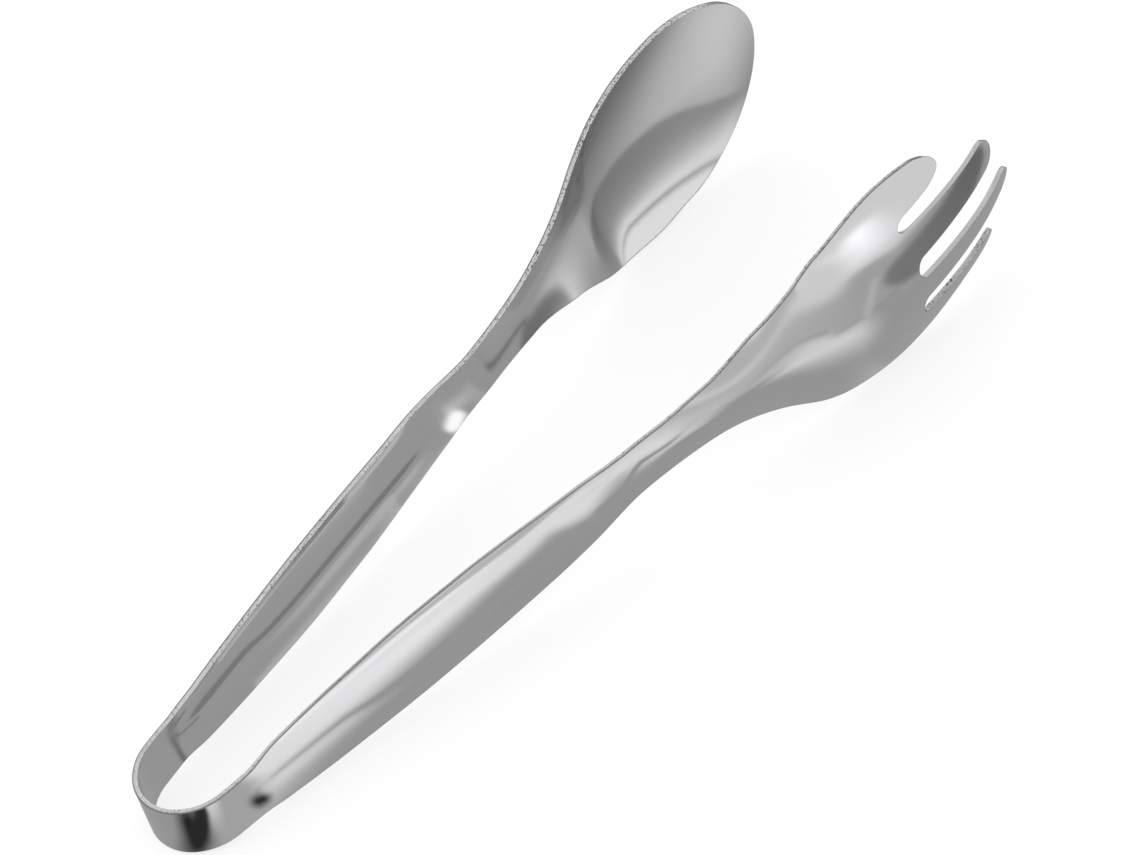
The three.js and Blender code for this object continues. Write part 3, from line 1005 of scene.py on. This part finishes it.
def cut_wall(name, colour, burr_and_shade, speck, torn):
    """A cut edge, drawn lengthwise by the tool, with painted shade on the burr band of its outer
    side, and torn in specks, more so past the neck
    """
    _, tree, shader = new_material(name)
    strip = strip_coordinates(tree)
    station, across, height = (axis(tree, strip, letter) for letter in "XYZ")
    shader.inputs["Metallic"].default_value = 1
    shader.inputs["Roughness"].default_value = WALL_ROUGHNESS
    drawn = noise(tree, strip, DRAWN_LINES, FINE_DETAIL)
    drawn = ranged(tree, drawn, *MIDDLE_NOISE, 0, 1)
    dull, bright = (shaded(colour, by) for by in DRAWN_SHARES)
    tone = mixed(tree, drawn, dull, bright)
    # Painted shade: a darker band over the burr on the outer side of the edge
    outside = ranged(tree, height, *BURR_AND_SHADE_PLACE, 0, 1)
    tone = laid_over(tree, outside, tone, burr_and_shade)
    grain = noise(tree, strip, GRAIN)
    cluster = noise(tree, strip, CLUSTERS, COARSE_DETAIL)
    covered = ranged(tree, grain, *SPECK_NOISE, 0, 1)
    on_middle, below = torn
    for part in (
        ranged(tree, cluster, *CLUSTER_NOISE, *CLUSTER_SHARES),
        ranged(tree, across, *TORN_PLACE, below, on_middle),
        ranged(tree, station, *TORN_NECK, 1, TORN_PAST_NECK),
    ):
        covered = math_node(tree, "MULTIPLY", covered, part)
    tree.links.new(laid_over(tree, covered, tone, speck), shader.inputs["Base Color"])
    bumped(tree, shader, grain, WALL_GRAIN)


class TONGS_OT_finishes(bpy.types.Operator):
    """Make the materials of the steel"""

    bl_idname = "tongs.finishes"
    bl_label = "Steel finishes"

    def execute(self, context):
        finish = context.scene.tongs_steel
        polished_steel(finish)
        cut_wall("sheared_edge", finish.edge, finish.burr_and_shade, finish.speck, SHEARED_TORN)
        cut_wall("slot_wall", finish.slot, finish.slot, finish.speck, SLOT_TORN)
        return {"FINISHED"}


class TONGS_OT_bow(bpy.types.Operator):
    """Model the flat sprung bow: its crown and two legs"""

    bl_idname = "tongs.bow"
    bl_label = "Bow"

    def execute(self, context):
        spoon, fork = arms()
        at = context.scene.tongs_strip.arm
        flex, handle = at * FLEX_SHARE, at * HANDLE_START_SHARE
        crown = zone("bow_crown_band", spoon, -flex, flex, press_crown(spoon))
        finish_piece(crown, "bow", "bow_crown")
        for label, arm in (("spoon", spoon), ("fork", fork)):
            leg = zone(f"{label}_bow_leg_band", arm, flex, handle)
            blend_leg(leg, arm, f"{label}_bow_leg")
        return {"FINISHED"}


class TONGS_OT_handles(bpy.types.Operator):
    """Model the pressed handles and the channelled necks"""

    bl_idname = "tongs.handles"
    bl_label = "Handles and necks"

    def execute(self, context):
        at = context.scene.tongs_strip.arm
        handle, fade = at * HANDLE_START_SHARE, at * HANDLE_FADE_SHARE
        shoulder = at * SHOULDER_SHARE
        for label, arm in zip(("spoon", "fork"), arms()):
            body = f"{label}_arm"
            finish_piece(zone(f"{label}_handle_panel", arm, handle, fade), body, f"{label}_handle")
            finish_piece(zone(f"{label}_neck_channel", arm, fade, shoulder), body, f"{label}_neck")
        return {"FINISHED"}


class TONGS_OT_spoon(bpy.types.Operator):
    """Model the bowl of the spoon"""

    bl_idname = "tongs.spoon"
    bl_label = "Spoon"

    def execute(self, context):
        spoon, _ = arms()
        net = bowl_net(spoon)
        free = [True] * (net.shape[1] - 1)
        bowl = sheet("spoon_bowl_sheet", net, free, press_with(spoon), spoon)
        finish_piece(bowl, "spoon_arm", "spoon_bowl")
        return {"FINISHED"}


class TONGS_OT_fork(bpy.types.Operator):
    """Model the palm and the four tines of the fork"""

    bl_idname = "tongs.fork"
    bl_label = "Fork"

    def execute(self, context):
        _, fork = arms()
        net, free = palm_net(fork)
        palm = sheet("fork_palm_sheet", net, free, press_with(fork), fork)
        finish_piece(palm, "fork_arm", "fork_palm")
        for index, (name, *size) in enumerate(tines()):
            net = tine_net(fork, index, *size)
            free = [True] * (net.shape[1] - 1)
            tine = sheet(f"{name}_sheet", net, free, press_with(fork), fork)
            finish_piece(tine, "fork_arm", name)
        return {"FINISHED"}


class TONGS_OT_stage(bpy.types.Operator):
    """Set the camera, the lamps, the floor and the background"""

    bl_idname = "tongs.stage"
    bl_label = "Stage"

    def execute(self, context):
        scene = context.scene
        scene.view_settings.view_transform = "Standard"
        self.camera(scene)
        self.world(scene)
        self.lamps(scene)
        self.floor(scene)
        return {"FINISHED"}

    def camera(self, scene):
        camera = bpy.data.objects.new("camera", bpy.data.cameras.new("camera"))
        scene.collection.objects.link(camera)
        sight = CAMERA_TARGET - CAMERA_PLACE
        camera.location = CAMERA_PLACE
        camera.rotation_mode = "QUATERNION"
        roll = Quaternion((0, 0, 1), scene.tongs_stage.roll)
        camera.rotation_quaternion = sight.to_track_quat("-Z", "Y") @ roll
        camera.data.sensor_width = SENSOR_WIDTH_MM
        camera.data.lens = scene.tongs_stage.lens
        scene.camera = camera

    def world(self, scene):
        """Even daylight, which the camera and all mirroring faces see as white"""
        world = bpy.data.worlds.new("studio")
        world.use_nodes = True
        scene.world = world
        tree = world.node_tree
        background = tree.nodes["Background"]
        background.inputs["Color"].default_value = (1, 1, 1, 1)
        path = tree.nodes.new("ShaderNodeLightPath").outputs
        seen = math_node(tree, "MAXIMUM", path["Is Camera Ray"], path["Is Glossy Ray"])
        seen = math_node(tree, "MAXIMUM", seen, path["Is Transmission Ray"])
        strength = ranged(tree, seen, 0, 1, scene.tongs_stage.daylight, 1)
        tree.links.new(strength, background.inputs["Strength"])

    def lamps(self, scene):
        """Two large soft panels, which the steel doesn't mirror on top of the daylight"""
        for name, (place, side, power) in LAMPS.items():
            lamp = bpy.data.objects.new(name, bpy.data.lights.new(name, "AREA"))
            scene.collection.objects.link(lamp)
            lamp.data.size = side
            lamp.data.energy = power
            lamp.visible_glossy = False
            lamp.location = place
            lamp.rotation_euler = (-Vector(place)).to_track_quat("-Z", "Y").to_euler()

    def floor(self, scene):
        """White to the camera but for a part of the shadow, and to the steel a glow of painted
        shade and painted light in soft grey and white fields
        """
        stage = scene.tongs_stage
        bpy.ops.object.select_all(action="DESELECT")
        bpy.ops.mesh.primitive_plane_add(size=FLOOR_SIZE, location=(0, 0, -FLOOR_DROP))
        floor = bpy.context.object
        floor.name = "floor"
        made, tree, shader = new_material("floor")
        shader.inputs["Base Color"].default_value = (*FLOOR_COLOUR, 1)
        shader.inputs["Roughness"].default_value = FLOOR_ROUGHNESS
        place = tree.nodes.new("ShaderNodeTexCoord").outputs["Object"]
        level = stage.floor
        # Painted shade and painted light: the fields laid over the floor's level
        for field in FIELDS.values():
            level = with_field(tree, place, level, field)
        path = tree.nodes.new("ShaderNodeLightPath").outputs
        # Glossy rays see the floor glow at that painted level in place of its lit colour
        rise = math_node(tree, "SUBTRACT", level, 1)
        glossy, through = path["Is Glossy Ray"], path["Is Transmission Ray"]
        strength = math_node(tree, "MULTIPLY_ADD", rise, glossy, 1)
        glow = new_node(tree, "Emission", "Emission", {"Strength": strength})
        bright = math_node(tree, "MULTIPLY", path["Is Camera Ray"], 1 - stage.floor_shadow)
        seen = math_node(tree, "MAXIMUM", glossy, through)
        shown = math_node(tree, "MAXIMUM", bright, seen)
        mix = {0: shown, 1: shader.outputs["BSDF"], 2: glow}
        both = new_node(tree, "MixShader", "Shader", mix)
        tree.links.new(both, tree.nodes["Material Output"].inputs["Surface"])
        floor.data.materials.append(made)


class TONGS_PT_panel(bpy.types.Panel):
    """Lists the steps that make the tongs"""

    bl_idname = "TONGS_PT_panel"
    bl_label = "Serving tongs"
    bl_space_type = "VIEW_3D"
    bl_region_type = "UI"
    bl_category = "Tongs"

    def draw(self, context):
        for operator in OPERATORS:
            self.layout.operator(operator.bl_idname)
        for group, place in GROUPS.items():
            values = getattr(context.scene, place)
            for name in group.__annotations__:
                self.layout.prop(values, name)


OPERATORS = (
    TONGS_OT_finishes,
    TONGS_OT_bow,
    TONGS_OT_handles,
    TONGS_OT_spoon,
    TONGS_OT_fork,
    TONGS_OT_stage,
)
GROUPS = {
    TongsStrip: "tongs_strip",
    TongsBend: "tongs_bend",
    TongsSlot: "tongs_slot",
    TongsSteel: "tongs_steel",
    TongsStage: "tongs_stage",
}


def register():
    for kind in (*GROUPS, *OPERATORS, TONGS_PT_panel):
        bpy.utils.register_class(kind)
    for group, name in GROUPS.items():
        setattr(bpy.types.Scene, name, PointerProperty(type=group))


def unregister():
    for name in GROUPS.values():
        delattr(bpy.types.Scene, name)
    for kind in reversed((*GROUPS, *OPERATORS, TONGS_PT_panel)):
        bpy.utils.unregister_class(kind)


def main():
    register()
    bpy.ops.tongs.finishes()
    bpy.ops.tongs.bow()
    bpy.ops.tongs.handles()
    bpy.ops.tongs.spoon()
    bpy.ops.tongs.fork()
    bpy.ops.tongs.stage()


if __name__ == "__main__":
    main()
